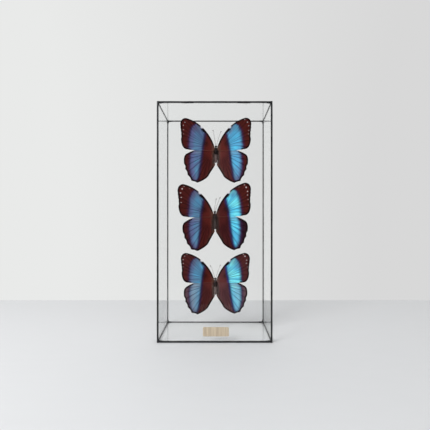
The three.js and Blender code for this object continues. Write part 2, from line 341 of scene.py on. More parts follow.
def clearGlass():
    # drawn sheet glass: clear and faintly wavy, mirroring little face-on and much edge-on
    material = newMaterial("clear sheet glass")
    place = addNode(material, "ShaderNodeTexCoord").outputs["Object"]
    waves = addNode(material, "ShaderNodeTexNoise", {"Vector": place, "Scale": 1 / (45 * mm), "Detail": 1})
    tint = addNode(material, "ShaderNodeMix", {0: waves, 6: "#ffffff", 7: "#fdfefe"}, data_type="RGBA")
    relief = addNode(material, "ShaderNodeBump", {"Strength": 0.06, "Distance": 1 * mm, "Height": waves})
    glass = addNode(material, "ShaderNodeBsdfPrincipled", {
        "Base Color": tint.outputs[2], "Roughness": 0.0, "IOR": 1.5, "Transmission Weight": 1.0,
        "Specular Tint": "#888888", "Normal": relief,
    })
    # lamps and soft room light pass straight through to what the box holds
    clear = addNode(material, "ShaderNodeBsdfTransparent", {"Color": "#fefefe"})
    ray = addNode(material, "ShaderNodeLightPath")
    passing = addNode(material, "ShaderNodeMath", {
        0: ray.outputs["Is Shadow Ray"], 1: ray.outputs["Is Diffuse Ray"],
    }, operation="MAXIMUM")
    mixed = addNode(material, "ShaderNodeMixShader", {0: passing, 1: glass, 2: clear})
    addNode(material, "ShaderNodeOutputMaterial", {"Surface": mixed})
    return material


sheetGlass = clearGlass()
paneNodes = [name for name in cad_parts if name.startswith("pane_")]
for name in paneNodes:
    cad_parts[name].material_slots[0].material = sheetGlass
print(f"{len(paneNodes)} panes glazed")


# Label plate

labelSettings = {
    "cornerRadius": 1.6,
    "rimRounding": 0.12,
    "borderInset": 0.7,  # with the groove it stays inside the corners' rounding
    "grooveWidth": 0.22,
    "grooveDepth": 0.07,
    "grooveSlope": 0.05,
}


def brushedBrass():
    # thin brass sheet, brushed upright and lacquered: pale warm gold with a soft streaky gleam
    material = newMaterial("brushed lacquered brass")
    place = addNode(material, "ShaderNodeTexCoord").outputs["Object"]
    # the brushing is too fine to show from in front, so broader streaks of the same kind carry the colour:
    # their paler gold is painted sheen, where brushing catches the light
    brushed = {}
    for name, width, length in [("lines", 0.45, 14), ("streaks", 1.8, 40)]:
        stretched = addNode(material, "ShaderNodeMapping", {
            "Vector": place, "Scale": (1 / (width * mm), 1 / (width * mm), 1 / (length * mm)),
        })
        brushed[name] = addNode(material, "ShaderNodeTexNoise", {
            "Vector": stretched, "Scale": 1.0, "Detail": 3,
        })
    clouds = addNode(material, "ShaderNodeTexNoise", {"Vector": place, "Scale": 1 / (7 * mm), "Detail": 2})
    streak = addNode(material, "ShaderNodeMapRange", {
        "Value": brushed["streaks"], "From Min": 0.3, "From Max": 0.7,
    })
    # painted sheen: the streaks run from darker to paler gold as if catching the light
    brass = addNode(material, "ShaderNodeMix", {0: streak, 6: "#bba588", 7: "#f2e4cd"}, data_type="RGBA")
    aged = addNode(material, "ShaderNodeMix", {
        0: clouds, 6: brass.outputs[2], 7: "#dccbb2",
    }, data_type="RGBA")
    gleam = addNode(material, "ShaderNodeMapRange", {
        "Value": brushed["lines"], "To Min": 0.32, "To Max": 0.52,
    })
    relief = addNode(material, "ShaderNodeBump", {
        "Strength": 0.5, "Distance": 0.03 * mm, "Height": brushed["lines"],
    })
    shader = addNode(material, "ShaderNodeBsdfPrincipled", {
        "Base Color": aged.outputs[2], "Metallic": 0.35, "Roughness": gleam, "Normal": relief,
    })
    addNode(material, "ShaderNodeOutputMaterial", {"Surface": shader})
    return material


def makeLabel(node, material, s):
    low, high = [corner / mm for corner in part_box(node)]
    size = high - low
    bm = bmesh.new()
    filled = Matrix.Translation((low + high) / 2) @ Matrix.Diagonal((*size, 1))
    bmesh.ops.create_cube(bm, size=1, matrix=filled)
    corners = [edge for edge in bm.edges if abs((edge.verts[0].co - edge.verts[1].co).y) > size.y / 2]
    roundEdges(bm, corners, s["cornerRadius"], 8)
    face = min(bm.faces, key=lambda f: f.calc_center_median().y)
    roundEdges(bm, list(face.edges), s["rimRounding"], 3)
    # a fine engraved border line
    face = max(bm.faces, key=lambda f: f.calc_area() * (f.normal.y < -0.9))
    for thickness, depth in [(s["borderInset"], 0), (s["grooveSlope"], -s["grooveDepth"]),
                             (s["grooveWidth"], 0), (s["grooveSlope"], s["grooveDepth"])]:
        bmesh.ops.inset_region(bm, faces=[face], thickness=thickness, depth=depth, use_even_offset=True)
    finishPiece(bm, "brass_label", [material], node, sharpAngle=15)


makeLabel("label_plate", brushedBrass(), labelSettings)
print("label plate made")


# Clear pegs between the back pane and the bodies

pegSettings = {"radius": 1.75, "endRounding": 0.3, "sides": 48}


def castAcrylic():
    # cast acrylic rod: water-clear, with faint lathe lines that catch the light
    material = newMaterial("clear acrylic rod")
    place = addNode(material, "ShaderNodeTexCoord").outputs["Object"]
    lines = addNode(material, "ShaderNodeTexWave", {
        "Vector": place, "Scale": 1 / (8 * mm), "Distortion": 0.6, "Detail": 1,
    }, bands_direction="Y")
    relief = addNode(material, "ShaderNodeBump", {
        "Strength": 0.08, "Distance": 0.05 * mm, "Height": lines.outputs[1],
    })
    acrylic = addNode(material, "ShaderNodeBsdfPrincipled", {
        "Base Color": "#f8fafa", "Roughness": 0.03, "IOR": 1.49, "Transmission Weight": 1.0,
        "Normal": relief,
    })
    clear = addNode(material, "ShaderNodeBsdfTransparent", {"Color": "#eef1f1"})
    ray = addNode(material, "ShaderNodeLightPath")
    mixed = addNode(material, "ShaderNodeMixShader", {0: ray.outputs["Is Shadow Ray"], 1: acrylic, 2: clear})
    addNode(material, "ShaderNodeOutputMaterial", {"Surface": mixed})
    return material


def makePeg(node, material, s):
    low, high = [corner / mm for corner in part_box(node)]
    middle = (low + high) / 2
    bm = bmesh.new()
    lying = Matrix.Rotation(math.pi / 2, 4, "X")
    bmesh.ops.create_cone(bm, cap_ends=True, segments=s["sides"], radius1=s["radius"], radius2=s["radius"],
                          depth=high.y - low.y, matrix=Matrix.Translation(middle) @ lying)
    rims = [edge for face in bm.faces if len(face.verts) > 4 for edge in face.edges]
    roundEdges(bm, rims, s["endRounding"], 3)
    finishPiece(bm, f"acrylic_{node}", [material], node, sharpAngle=15)


acrylic = castAcrylic()
for name in ("top_peg", "middle_peg", "bottom_peg"):
    makePeg(name, acrylic, pegSettings)
print("3 pegs made")


# Wings. A wing is a fan about a point near its root: columns run out along the veins to the edge,
# rings cross them. Places on it are x outwards and z towards the head, from the thorax centre.

wingSettings = {
    "thickness": 0.24,
    "rise": 0.15,
    "droop": 0.0007,
    "pivot": (2, 0.5),
    "columnsPerStep": 4,
    "rings": 52,
    "ringCrowding": 1.5,  # rings lie closer together towards the wing's edge
    "bendBegins": 12,  # columns start to bend towards the end of the cell at this length
    "bendGrows": 28,  # and bend fully when they are this much longer
    "veinRelief": 0.2,
    "veinWidth": 1.5,
    "reliefFades": {"rim": 4, "nearBody": 14},  # it fades out over this distance from the edge and the body
    "veinsMerge": 12,  # this near to the root the veins' lines fade
    "behindBody": 3.2,  # the outline nearer the middle than this lies behind the body
    "seamEnds": 20,  # how far out the line where two wings meet can be seen
    "innerEdge": [(0, 2.4), (20, 1.5), (37, 10)],  # beside the abdomen: how far down, and x there
    "paintedSheenTurns": 8,  # over this width the painted sheen and shade change from their amount at the body to their amount at the edge
    "streakStep": 5.3,  # from wing to wing in the noise that draws the streaks
}
forewing = {
    "baseY": -0.75,
    "root": (5, 1.6),
    "cell": (23, 18),   # the end of the discal cell, from where most veins spread
    "cellPull": 0.42,
    "start": (1.6, 3.6),
    # two handles and an end of each curve, steps, and how many scallops dip inwards by how much
    "stretches": [
        ((4.9, 17.4), (17, 38.5), (40, 44.7), 10, 0, 0),
        ((43, 45.4), (48.6, 43.5), (48.7, 35.3), 6, 0, 0),
        ((49.2, 30), (47.2, 25), (48.2, 16.5), 16, 4, 0.5),
        ((48.2, 7.9), (45.4, 1.8), (40, 1.6), 6, 0, 0),
        ((27.4, -0.8), (14, -0.3), (1.6, -0.3), 6, 0, 0),
        ((1.6, 0.9), (1.6, 2.2), (1.6, 3.6), 2, 0, 0),
    ],
    "veinEnds": [(23, 35.5), (33, 42), (40.5, 44.7), (46, 42.8), (48.7, 34.3), (48, 27.5), (47.7, 21.3),
                 (47.8, 13.5), (45, 4), (30, 0.9)],
    # the blue band: z, then its inner and its outer edge there
    "band": [(-1, 20.2, 38), (2.2, 19.9, 37.4), (5.7, 19.4, 36), (11.7, 18, 35.6), (17.7, 16.7, 35),
             (23.7, 15.6, 34), (27.5, 15.6, 32.8), (30, 18.2, 31.8), (33.7, 21, 30), (36.5, 24, 26.5),
             (39, 27, 22)],
    # pale and dark patches: x, z, radius
    "paleAt": [(18.9, 32.7, 1.9)],
    "darkAt": [(18.6, 29, 1.5), (16.6, 27.4, 1.9), (14.8, 25.6, 1.5)],
    "borderless": (36, -2, 1.8),  # an edge without a black border: x below, z from and z to
    "fade": [(24, 0), (31, 0.42)],  # the band's blue turns brown above 0 and dusty below 0: z, amount
    "ocelli": [(39, 34, 2.2), (40.5, 25, 1.9), (40, 12.5, 3.2)],
}
hindwing = {
    "baseY": 0.25,
    "root": (6, -2),
    "cell": (17, -11),
    "cellPull": 0.3,
    "start": (1.6, 0.2),
    "stretches": [
        ((14.4, 3), (31, 0.7), (40, -5.5), 8, 0, 0),
        ((44.5, -7.9), (45.1, -12.6), (44, -20.2), 5, 0, 0),
        ((43.3, -26.1), (39.8, -36), (33.6, -43), 12, 3, 1.2),
        ((31, -45.2), (29.5, -44.5), (25.4, -45.7), 4, 1, 0.9),
        ((20.5, -44.3), (14.1, -40.5), (10.4, -36.6), 5, 0, 0),
        ((7.8, -31.2), (3.9, -25.5), (0.9, -20.2), 4, 0, 0),
        ((0.7, -18.6), (1.6, -17.4), (1.7, -13), 4, 0, 0),
        ((1.7, -10), (1.6, -7), (1.6, -4), 3, 0, 0),
        ((1.6, -2.6), (1.6, -1.2), (1.6, 0.2), 2, 0, 0),
    ],
    "veinEnds": [(33, -2.2), (42, -7), (44.3, -14.5), (43.3, -23.5), (39.9, -32.5), (34.2, -42.4),
                 (25.6, -45.7), (18, -43), (10.4, -36.6), (3.8, -26)],
    "band": [(1.5, 20, 31), (-2.3, 20.1, 32.5), (-7.3, 20.5, 34.8), (-16.3, 21.4, 35.2), (-26.3, 22.8, 34.9),
             (-32.3, 23.8, 34), (-37, 24.6, 32.6), (-40.5, 25.8, 30.8), (-43, 27.6, 28.6)],
    "paleAt": [],
    "darkAt": [],
    "borderless": (33, -4, 3),
    "fade": [(-42, 0.45), (-36, 0), (-8, 0), (-2.5, -0.26)],
    "ocelli": [(36, -12, 3.4), (36.5, -24, 2.6), (30, -33.5, 2.6), (21, -37, 2.4)],
}

wingNames = ("forewing_left", "forewing_right", "hindwing_left", "hindwing_right")

# How each butterfly sits, as the frame has it. Turn, painted light, painted patches, growth and painted sheen
# are given for the four wings in the order of their names. The painted light is how brightly a wing's blue is
# painted, from dull steel to bright cyan, as if it caught more or less light; the patches are painted
# highlight,
# and painted shade below 0: x, z, radius, amount. The spots are the white ones near the forewing's edge: x,
# z, radius. The growth is how much wider the band is on its inner and on its outer side. The painted sheen
# lightens the brown and the blue where light falls, towards the body and towards the edge; below 0 it is
# painted shade.
butterflies = {
    "top": {
        "x": 1.3, "z": 246.6, "tilt": 0.7,
        "size": {"forewing": (0.965, 0.97), "hindwing": (0.965, 0.97)},
        "turn": (-2.2, 0, 0.5, 1.4),
        "paintedFlash": (0.03, 0.47, 0, 0.37),
        "paintedGlintsAndShade": (
            [(27, 8, 6, 0.16), (31, 28, 7, -0.08)],
            [(26, 20, 8, 0.12), (27, 3.5, 4, 0.26), (28, 34, 4, 0.1), (20, 25, 4, -0.16)],
            [(26, -30, 5, 0.22), (27, -18, 6, -0.06)],
            [(27, -17, 6, 0.2), (26, -7, 5, 0.08), (29, -38, 4, -0.16)],
        ),
        "bandGrowth": ((0.9, 0.4), (1, 0.6), (0.4, 0), (0.4, 0)),
        "paintedSheenAndShade": ((-0.08, -0.02), (0.02, -0.02), (-0.08, 0), (0.05, 0)),
        "spots": {
            "left": [(42.2, 38.9, 0.5), (44.4, 34.8, 0.5), (44.4, 28.9, 0.4), (44.5, 23, 0.3)],
            "right": [(39.5, 42.2, 0.4), (43.2, 38.6, 0.6), (45, 33.6, 0.5), (45.3, 27.2, 0.4),
                      (45, 22.4, 0.3)],
        },
        "bodySize": 0.94, "bodyZ": -0.8, "antennaTips": [(-4.7, 28), (6.8, 26.5)],
    },
    "middle": {
        "x": -0.2, "z": 156.8, "tilt": -0.9,
        "size": {"forewing": (1, 1.01), "hindwing": (0.99, 1)},
        "turn": (-1.3, -0.4, -0.6, 0.2),
        "paintedFlash": (0.17, 0.78, 0.12, 0.68),
        "paintedGlintsAndShade": (
            [(25, 19, 8, 0.12), (20, 10, 4, -0.2), (27, 33, 5, -0.1)],
            [(27.5, 17, 6.5, 0.25), (25, 33, 3.5, 0.1), (24, 28.5, 2.6, -0.3), (29, 5, 5, 0.12),
             (18, 9, 3.6, -0.45)],
            [(28.5, -32, 5, 0.16)],
            [(26, -12, 7, 0.1), (28, -4, 4, 0.14), (31, -32, 5, -0.1)],
        ),
        "bandGrowth": ((0.7, -2.2), (0.5, -1.3), (0.4, -1), (0, -1.3)),
        "paintedSheenAndShade": ((-0.08, -0.06), (-0.3, 0), (-0.06, -0.16), (-0.28, -0.72)),
        "spots": {
            "left": [(39.8, 41.7, 0.45), (42.4, 38.6, 0.8), (32.6, 38.8, 0.5), (44.8, 33.2, 0.65),
                     (44, 27.3, 0.55), (44.4, 20.6, 0.4)],
            "right": [(32.5, 39.3, 0.5), (39.9, 41.9, 0.5), (42.3, 38.6, 0.85), (44.1, 33.2, 0.65),
                      (44.1, 28.4, 0.45), (44.7, 22.4, 0.4), (45, 14.8, 0.3)],
        },
        "bodySize": 1, "bodyZ": -0.4, "antennaTips": [(2.2, 25), (7.8, 26.7)],
    },
    "bottom": {
        "x": 0.5, "z": 68.2, "tilt": -1,
        "size": {"forewing": (0.93, 0.92), "hindwing": (0.955, 0.945)},
        "turn": (-0.9, -2.8, 1.1, 1.1),
        "paintedFlash": (0.2, 0.88, 0.24, 0.68),
        "paintedGlintsAndShade": (
            [(25, 15, 7, 0.12), (31, 25, 6, -0.1)],
            [(25, 13, 6, 0.26), (24.5, 28, 4, 0.3), (31, 24, 5, -0.42), (19, 20, 3.5, -0.12)],
            [(27, -12, 7, 0.1)],
            [(26.5, -7, 5.5, 0.36), (28, -28, 6, 0.06)],
        ),
        "bandGrowth": ((0, 0.8), (0.7, 0.6), (0.4, 0.6), (0.4, 0.2)),
        "paintedSheenAndShade": ((-0.04, 0.03), (0.1, 0.06), (0.04, 0.38), (0.16, 0.38)),
        "spots": {
            "left": [(39.6, 42.5, 0.4), (43, 40.2, 0.45), (45.3, 35.2, 0.55), (45.4, 29.8, 0.5),
                     (46, 24.7, 0.3)],
            "right": [(39, 42.3, 0.5), (41.4, 39.8, 0.75), (44, 34.3, 0.6), (43.6, 29.7, 0.55),
                      (45.2, 24.5, 0.3)],
        },
        "bodySize": 0.92, "bodyZ": -2, "antennaTips": [(-6.7, 23), (7.3, 23.5)],
    },
}


def traceOutline(shape, columnsPerStep):
    # corners all the way round, along the curves and dipping inwards at each scallop
    corners = []
    begin = Vector(shape["start"])
    for handle1, handle2, end, steps, scallops, dip in shape["stretches"]:
        count = steps * columnsPerStep
        points = interpolate_bezier(begin, Vector(handle1), Vector(handle2), Vector(end), count + 1)
        for step in range(count):
            forward = (points[step + 1] - points[step]).normalized()
            inwards = Vector((forward.y, -forward.x))
            depth = dip * abs(math.sin(math.pi * scallops * step / count))
            corners.append(points[step].xy + inwards.xy * depth)
        begin = Vector(end)
    return corners


def fanPlaces(shape, s):
    # places[column, ring], with the last column lying on the first
    outline = np.array(traceOutline(shape, s["columnsPerStep"]))
    outline = np.vstack([outline, outline[:1]])
    root = np.array(shape["root"])
    reach = 1 - (1 - np.linspace(0, 1, s["rings"] + 1)) ** s["ringCrowding"]
    length = np.linalg.norm(outline - root, axis=1)
    pull = shape["cellPull"] * np.clip((length - s["bendBegins"]) / s["bendGrows"], 0, 1)[:, None]
    bend = ((root + outline) / 2) * (1 - pull) + np.array(shape["cell"]) * pull
    t = reach[None, :, None]
    return (1 - t) ** 2 * root + 2 * t * (1 - t) * bend[:, None] + t ** 2 * outline[:, None]


def nearest(places, points):
    gaps = np.linalg.norm(places[..., None, :] - np.array(points), axis=-1)
    return gaps.min(axis=-1)


def deepestIn(places, discs):
    # how far inside the nearest of some discs a place lies, in mm
    x, z, radius = np.array(discs or [(0, -500, 0)]).T
    gaps = np.hypot(places[..., 0, None] - x, places[..., 1, None] - z)
    return (radius - gaps).max(axis=-1)


def wingFields(shape, places, s):
    # what the scales' colours follow, at every place on the wing: distances in mm, and amounts
    outline = places[:, -1]
    columns = [int(np.argmin(np.linalg.norm(outline - np.array(end), axis=1))) for end in shape["veinEnds"]]
    toVeins = [np.linalg.norm(places - places[column], axis=-1) for column in columns]
    z, inner, outer = np.array(sorted(shape["band"])).T
    x, discX, discZ, discRadius = places[..., 0], *np.array(shape["ocelli"]).T
    ocellus = np.hypot(x[..., None] - discX, places[..., 1, None] - discZ) / discRadius
    # the line behind the body isn't an edge of the wing, and the edges where two wings meet have no border
    inwards, low, high = shape["borderless"]
    free = outline[outline[:, 0] > s["behindBody"]]
    meets = (free[:, 0] < inwards) & (low < free[:, 1]) & (free[:, 1] < high)
    fromRoot = np.linalg.norm(places - np.array(shape["root"]), axis=-1)
    edgeZ, edgeX = np.array(s["innerEdge"]).T
    return {
        "vein": np.min(toVeins, axis=0) + np.clip(1 - fromRoot / s["veinsMerge"], 0, 1),
        "rim": nearest(places, free[~meets]),
        "seam": nearest(places, free[meets & (free[:, 0] < s["seamEnds"])]),
        "fade": np.interp(places[..., 1], *np.array(sorted(shape["fade"])).T),
        "inBand": x - np.interp(places[..., 1], z, inner),
        "outBand": np.interp(places[..., 1], z, outer) - x,
        "pale": deepestIn(places, shape["paleAt"]),
        "dark": deepestIn(places, shape["darkAt"]),
        "ocellus": ocellus.min(axis=-1),
        "nearBody": np.linalg.norm(places - np.array((3, 1)), axis=-1),
        "innerEdge": x - np.interp(-places[..., 1], edgeZ, edgeX),
    }


def scaledMembrane():
    # upper side: velvety red-brown scales with a blue interference band that shines like satin
    material = newMaterial("butterfly scales, upper side")
    fan = addNode(material, "ShaderNodeUVMap", uv_map="fan")
    ownStreaks = addNode(material, "ShaderNodeAttribute", attribute_name="wing").outputs["Fac"]
    grain = {}
    for name, scale in {"cells": (17, 1.6, 1), "streaks": (75, 2.6, 1), "hairlines": (240, 8, 1)}.items():
        stretched = addNode(material, "ShaderNodeMapping", {"Vector": fan, "Scale": scale})
        grain[name] = addNode(material, "ShaderNodeTexNoise", {
            "Vector": stretched, "W": ownStreaks, "Scale": 1.0, "Detail": 2,
        }, noise_dimensions="4D")
    field = {}
    for name in ("vein", "rim", "seam", "inBand", "outBand", "pale", "dark", "spot", "paintedFlash", "fade", "paintedSheenAndShade",
                 "nearBody", "innerEdge"):
        field[name] = addNode(material, "ShaderNodeAttribute", attribute_name=name).outputs["Fac"]
    # the band's edges, the border and the brown near the body are combed into streaks, this wide in mm
    feather = {"inBand": 2.6, "outBand": 4.6, "innerEdge": 3, "nearBody": 5, "rim": -1.4}
    for name, width in feather.items():
        field[name] = addNode(material, "ShaderNodeMath", {
            0: grain["streaks"], 1: width, 2: field[name],
        }, operation="MULTIPLY_ADD")
    # name: field, where it is none and where it is full
    ranges = {
        "bandInside": ("inBand", 0.6, 4.6), "bandOutside": ("outBand", 0.3, 6.4),
        "navyInside": ("inBand", -2.6, 1.8), "violetOutside": ("outBand", -3.2, 3.2),
        "hazeOutside": ("outBand", 10, 3),
        "veinLine": ("vein", 0.6, 0.05), "rimLine": ("rim", 2.5, 0.2), "palePatch": ("pale", -0.9, 0.7),
        "darkPatch": ("dark", -0.5, 0.7), "spots": ("spot", -0.4, 0.3), "rootFlush": ("nearBody", 24, 6),
        # dull and bright follow the painted light on the blue
        "furTint": ("innerEdge", 7.5, 2), "dull": ("paintedFlash", 0.6, 0), "bright": ("paintedFlash", 0.55, 0.95),
        "seamLine": ("seam", 0.9, 0.1),
    }
    mask = {"fade": field["fade"], "paintedSheenAndShade": field["paintedSheenAndShade"], "opposite": -1.0}
    for name, (source, none, full) in ranges.items():
        mask[name] = addNode(material, "ShaderNodeMapRange", {
            "Value": field[source], "From Min": none, "From Max": full,
        }, interpolation_type="SMOOTHSTEP")
    # masks multiplied; fade and the painted sheen work the other way below 0, where the sheen becomes painted
    # shade
    products = {
        "blue": ("bandInside", "bandOutside"), "navy": ("navyInside", "violetOutside"),
        # the violet haze is painted where the blue is painted dull, at the band's outer edge: the blue as
        # seen away from the light
        "hazeEdge": ("blue", "hazeOutside"), "paintedDullHaze": ("hazeEdge", "dull"), "browned": ("blue", "fade"),
        # the painted sheen over the blue, and painted shade over the brown where the sheen is below 0
        "paintedSheenOnBlue": ("blue", "paintedSheenAndShade"), "silvered": ("browned", "opposite"), "darkened": ("paintedSheenAndShade", "opposite"),
    }
    for name, (a, b) in products.items():
        mask[name] = addNode(material, "ShaderNodeMath", {0: mask[a], 1: mask[b]}, operation="MULTIPLY")

    # the band's blue is painted from dull steel to bright cyan by the painted light on it, cell by cell and
    # streak by streak
    shine = field["paintedFlash"]
    for source, weight in [("cells", 1.0), ("streaks", 0.45), ("hairlines", 0.25)]:
        shine = addNode(material, "ShaderNodeMath", {
            0: grain[source], 1: weight, 2: shine,
        }, operation="MULTIPLY_ADD")
    level = addNode(material, "ShaderNodeMapRange", {"Value": shine, "From Min": 0.75, "From Max": 1.9})
    ramp = addNode(material, "ShaderNodeValToRGB", {0: level})
    stops = [(0, "#566a92"), (0.25, "#5a88aa"), (0.5, "#5aa8d4"), (0.75, "#56c6ec"), (1, "#80f0fa")]
    while len(ramp.color_ramp.elements) < len(stops):
        ramp.color_ramp.elements.new(0.5)
    for element, (position, paint) in zip(ramp.color_ramp.elements, stops):
        element.position = position
        element.color = hexColour(paint)

    browns = addNode(material, "ShaderNodeMix", {
        0: grain["streaks"], 6: "#2c0b0e", 7: "#5c2018",
    }, data_type="RGBA")
    # the inner edging is painted light too: violet-navy where the blue is painted dull, deep blue where it is
    # painted bright
    edging = addNode(material, "ShaderNodeMix", {
        0: mask["bright"], 6: "#2b2548", 7: "#1c3a80",
    }, data_type="RGBA")
    # the band's edging: deep blue on its inner side, dusky violet on its outer side
    edging = addNode(material, "ShaderNodeMix", {
        0: mask["bandInside"], 6: edging.outputs[2], 7: "#38264a",
    }, data_type="RGBA")
    # painted light among the layers: the taupe over the brown and the pale grey over the blue are painted
    # sheen, the near black is painted shade
    layers = [
        ("rootFlush", "#581e17"), ("furTint", "#54382f"), ("paintedSheenAndShade", "#80707c"), ("darkened", "#140d1e"),
        ("navy", edging.outputs[2]), ("blue", ramp), ("paintedDullHaze", "#625f90"), ("browned", "#5a4446"),
        ("silvered", "#999ba2"), ("paintedSheenOnBlue", "#a9b6ba"), ("darkPatch", "#0c0a14"), ("seamLine", "#6a4238"),
        ("veinLine", "#666a80"), ("rimLine", "#150709"), ("palePatch", "#cfced8"), ("spots", "#dccaca"),
    ]
    colour = browns.outputs[2]
    for name, paint in layers:
        layer = addNode(material, "ShaderNodeMix", {
            0: mask[name], 6: colour, 7: paint,
        }, data_type="RGBA", blend_type="MULTIPLY" if name == "veinLine" else "MIX")
        colour = layer.outputs[2]

    satin = addNode(material, "ShaderNodeMapRange", {"Value": mask["blue"], "To Min": 0.72, "To Max": 0.45})
    metal = addNode(material, "ShaderNodeMath", {0: mask["blue"], 1: 0.1}, operation="MULTIPLY")
    relief = addNode(material, "ShaderNodeBump", {
        "Strength": 0.5, "Distance": 0.12 * mm, "Height": grain["hairlines"],
    })
    shader = addNode(material, "ShaderNodeBsdfPrincipled", {
        "Base Color": colour, "Roughness": satin, "Metallic": metal,
        "Specular IOR Level": 0.06, "Normal": relief,
    })
    addNode(material, "ShaderNodeOutputMaterial", {"Surface": shader})
    return material


def undersideScales():
    # under side: matte olive-brown scales with pale lines along the edge and ringed eyespots
    material = newMaterial("butterfly scales, under side")
    fan = addNode(material, "ShaderNodeUVMap", uv_map="fan")
    stretched = addNode(material, "ShaderNodeMapping", {"Vector": fan, "Scale": (70, 4, 1)})
    streaks = addNode(material, "ShaderNodeTexNoise", {"Vector": stretched, "Scale": 1.0, "Detail": 3})
    field = {}
    for name in ("vein", "rim", "ocellus"):
        field[name] = addNode(material, "ShaderNodeAttribute", attribute_name=name).outputs["Fac"]
    ground = addNode(material, "ShaderNodeMix", {0: streaks, 6: "#3f2f29", 7: "#6b5446"}, data_type="RGBA")
    colour = ground.outputs[2]
    # bands along the wing's edge: field, colour, none, full, and back to none
    bands = [("rim", "#8f7862", 6.4, 7.2, 8.2), ("rim", "#a08a74", 2.4, 3.0, 3.6),
             ("rim", "#241a18", 3.4, 4.4, 5.6), ("rim", "#251a18", -1, 0.4, 1.4),
             ("vein", "#2b201d", -1, 0, 0.45)]
    for source, paint, none, full, noneAgain in bands:
        up, down = [addNode(material, "ShaderNodeMapRange", {
            "Value": field[source], "From Min": low, "From Max": full,
        }) for low in (none, noneAgain)]
        both = addNode(material, "ShaderNodeMath", {0: up, 1: down}, operation="MULTIPLY")
        layer = addNode(material, "ShaderNodeMix", {0: both, 6: colour, 7: paint}, data_type="RGBA")
        colour = layer.outputs[2]
    # rings of an eyespot, outermost first: how far out each reaches, against the spot's radius
    rings = [(1.25, "#9a8367"), (1.08, "#2a1d18"), (0.9, "#b98a4a"), (0.68, "#15100f"), (0.2, "#e8e2da")]
    softness = 0.06
    for reach, paint in rings:
        inside = addNode(material, "ShaderNodeMapRange", {
            "Value": field["ocellus"], "From Min": reach + softness, "From Max": reach - softness,
        })
        layer = addNode(material, "ShaderNodeMix", {0: inside, 6: colour, 7: paint}, data_type="RGBA")
        colour = layer.outputs[2]
    relief = addNode(material, "ShaderNodeBump", {"Strength": 0.5, "Distance": 0.12 * mm, "Height": streaks})
    shader = addNode(material, "ShaderNodeBsdfPrincipled", {
        "Base Color": colour, "Roughness": 0.75, "Specular IOR Level": 0.25, "Normal": relief,
    })
    addNode(material, "ShaderNodeOutputMaterial", {"Surface": shader})
    return material


def makeWing(butterfly, wingName, shape, places, fields, materials, s):
    b = butterflies[butterfly]
    kind, side = wingName.split("_")
    sign = -1 if side == "left" else 1
    number = wingNames.index(wingName)
    turn, paintedFlash, paintedGlintsAndShade, growth, paintedSheenAndShade = [
        b[setting][number] for setting in ("turn", "paintedFlash", "paintedGlintsAndShade", "bandGrowth", "paintedSheenAndShade")
    ]
    fields = dict(fields)
    fields["spot"] = deepestIn(places, b["spots"][side] if kind == "forewing" else [])
    # painted light on the blue: the wing's brightness, with patches of painted highlight and painted shade
    fields["paintedFlash"] = np.full(places.shape[:2], paintedFlash, float)
    for x, z, radius, amount in paintedGlintsAndShade:
        away = np.hypot(places[..., 0] - x, places[..., 1] - z)
        fields["paintedFlash"] += amount * np.exp(-(away / radius) ** 2)
    # painted sheen where light falls on the wing, more towards the body or towards the edge, and painted
    # shade below 0
    outwards = np.clip(fields["inBand"] / s["paintedSheenTurns"], 0, 1)
    fields["paintedSheenAndShade"] = paintedSheenAndShade[0] * (1 - outwards) + paintedSheenAndShade[1] * outwards
    fields["inBand"] = fields["inBand"] + growth[0]
    fields["outBand"] = fields["outBand"] + growth[1]
    # no two wings have the same streaks
    wingNumber = len(wingNames) * list(butterflies).index(butterfly) + number
    fields["wing"] = np.full(places.shape[:2], s["streakStep"] * wingNumber)

    # the fan in the flat, then turned and sized as this wing is
    turn = math.radians(turn)
    pivot = np.array(s["pivot"])
    spin = np.array([[math.cos(turn), -math.sin(turn)], [math.sin(turn), math.cos(turn)]])
    flat = ((places - pivot) @ spin.T + pivot) * np.array(b["size"][kind])
    x, z = flat[..., 0], flat[..., 1]
    ridge = s["veinRelief"] * np.exp(-(fields["vein"] / s["veinWidth"]) ** 2)
    for name, width in s["reliefFades"].items():
        ridge *= np.clip(fields[name] / width, 0, 1)
    y = shape["baseY"] - (s["rise"] * x - s["droop"] * x ** 2) - ridge

    bm = bmesh.new()
    bm.loops.layers.uv.new("fan")
    layers = {name: bm.verts.layers.float.new(name) for name in fields}
    columns, rings = places.shape[0] - 1, places.shape[1] - 1
    bmesh.ops.create_grid(bm, x_segments=columns, y_segments=rings, size=0.5, calc_uvs=True)
    standing = Matrix.Translation((b["x"], 0, b["z"])) @ Matrix.Rotation(math.radians(b["tilt"]), 4, "Y")
    for vert in bm.verts:
        at = round((vert.co.x + 0.5) * columns), round((vert.co.y + 0.5) * rings)
        for name, layer in layers.items():
            vert[layer] = fields[name][at]
        vert.co = standing @ Vector((sign * x[at], y[at], z[at]))
    bmesh.ops.remove_doubles(bm, verts=bm.verts, dist=1e-4)
    bm.normal_update()
    if sum(face.normal.y * face.calc_area() for face in bm.faces) > 0:
        bmesh.ops.reverse_faces(bm, faces=bm.faces)
    node = f"{butterfly}_{wingName}"
    wing = finishPiece(bm, f"scaled_{node}", materials, node)
    shell = wing.modifiers.new("membrane thickness", "SOLIDIFY")
    shell.thickness = s["thickness"] * mm
    shell.offset = 0
    shell.material_offset = 1


wingMaterials = [scaledMembrane(), undersideScales()]
for kind, shape in {"forewing": forewing, "hindwing": hindwing}.items():
    wingPlaces = fanPlaces(shape, wingSettings)
    shapeFields = wingFields(shape, wingPlaces, wingSettings)
    for name in butterflies:
        for side in ("left", "right"):
            makeWing(name, f"{kind}_{side}", shape, wingPlaces, shapeFields, wingMaterials, wingSettings)
    print(f"6 {kind}s made")


# Bodies: thorax, head, eyes, abdomen, antennae, legs and fur. Places are x across, y towards the back and
# z towards the head, from the thorax centre.

